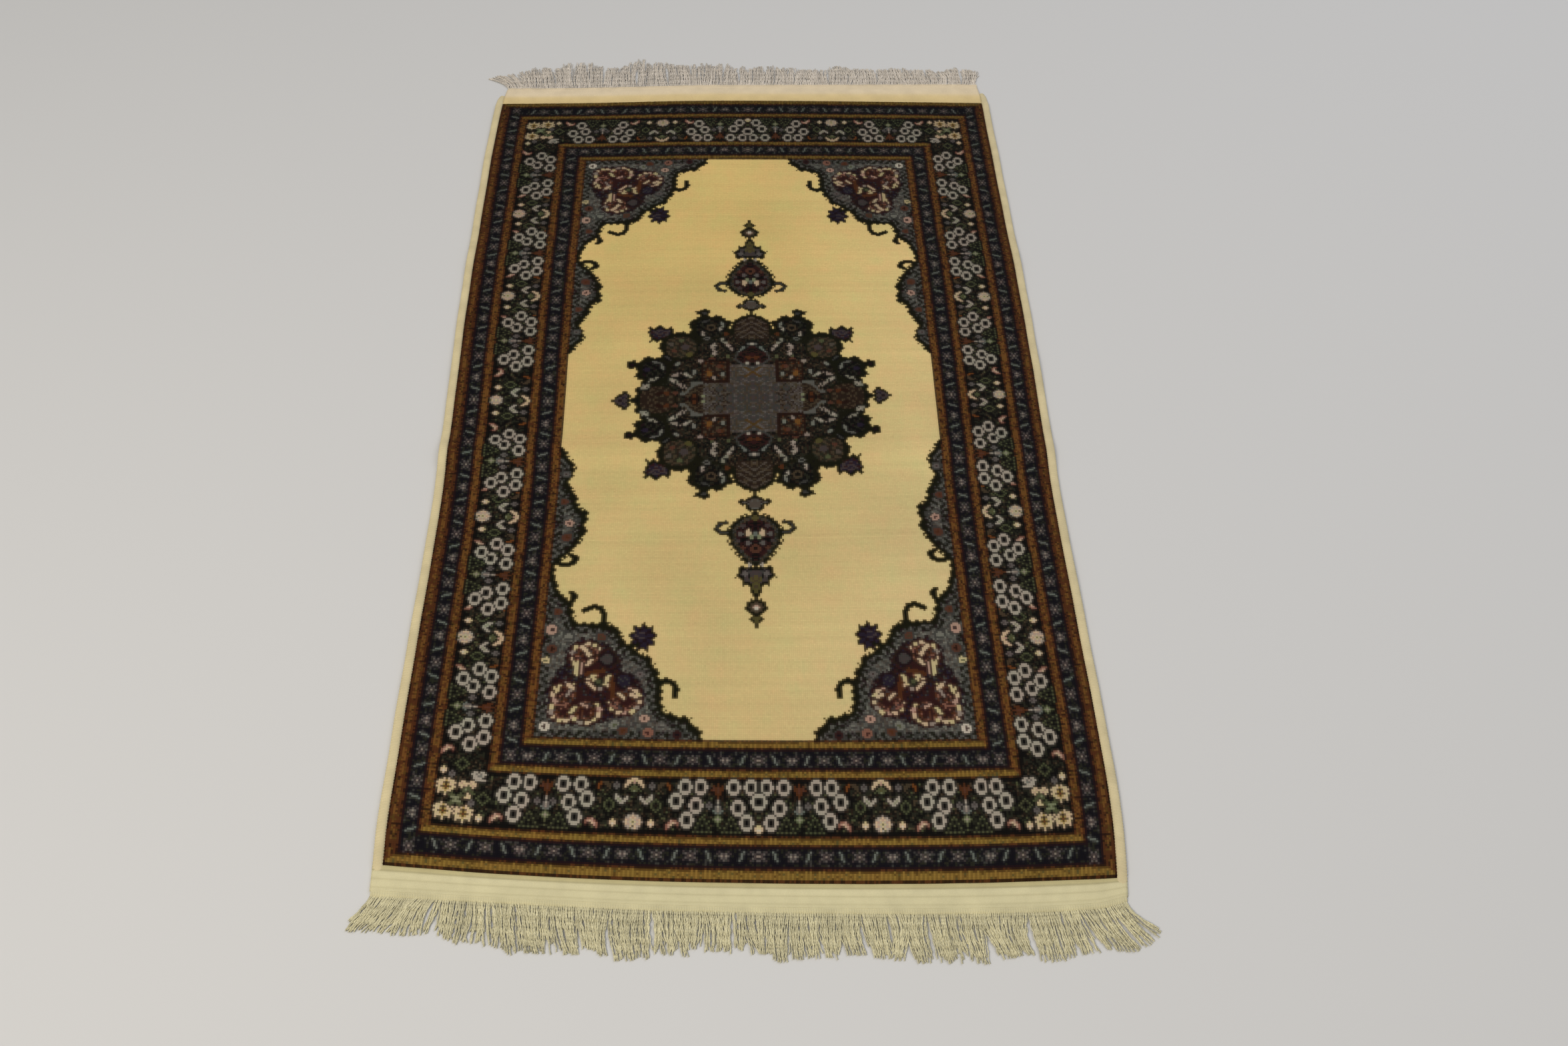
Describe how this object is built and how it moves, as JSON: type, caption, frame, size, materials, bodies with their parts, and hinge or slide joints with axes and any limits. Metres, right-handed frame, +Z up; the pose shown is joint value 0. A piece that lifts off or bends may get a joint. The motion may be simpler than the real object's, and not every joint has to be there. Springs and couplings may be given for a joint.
{
  "type": "silk rug",
  "caption": "Small flat hand-knotted rug with medallion field, borders, overcast sides, flatwoven ends and spread fringes.",
  "frame": {"origin": "on the floor, under the middle of the whole rug with its fringes", "axes": "+X across the rug to the right, +Y along it from the near end to the far end, +Z up"},
  "size_m": [0.5982, 1.0844, 0.0066],
  "materials": {
    "silk_pile": "low silk knotted pile with a soft sheen",
    "cream_yarn": "cream flatweave and overcast yarn",
    "fringe_yarn": "twisted undyed fringe strands"
  },
  "bodies": {
    "root": {"woven_cloth": "silk_pile", "side_cord_left": "cream_yarn", "side_cord_right": "cream_yarn", "fringe_near": "fringe_yarn", "fringe_far": "fringe_yarn"}
  },
  "joints": []
}
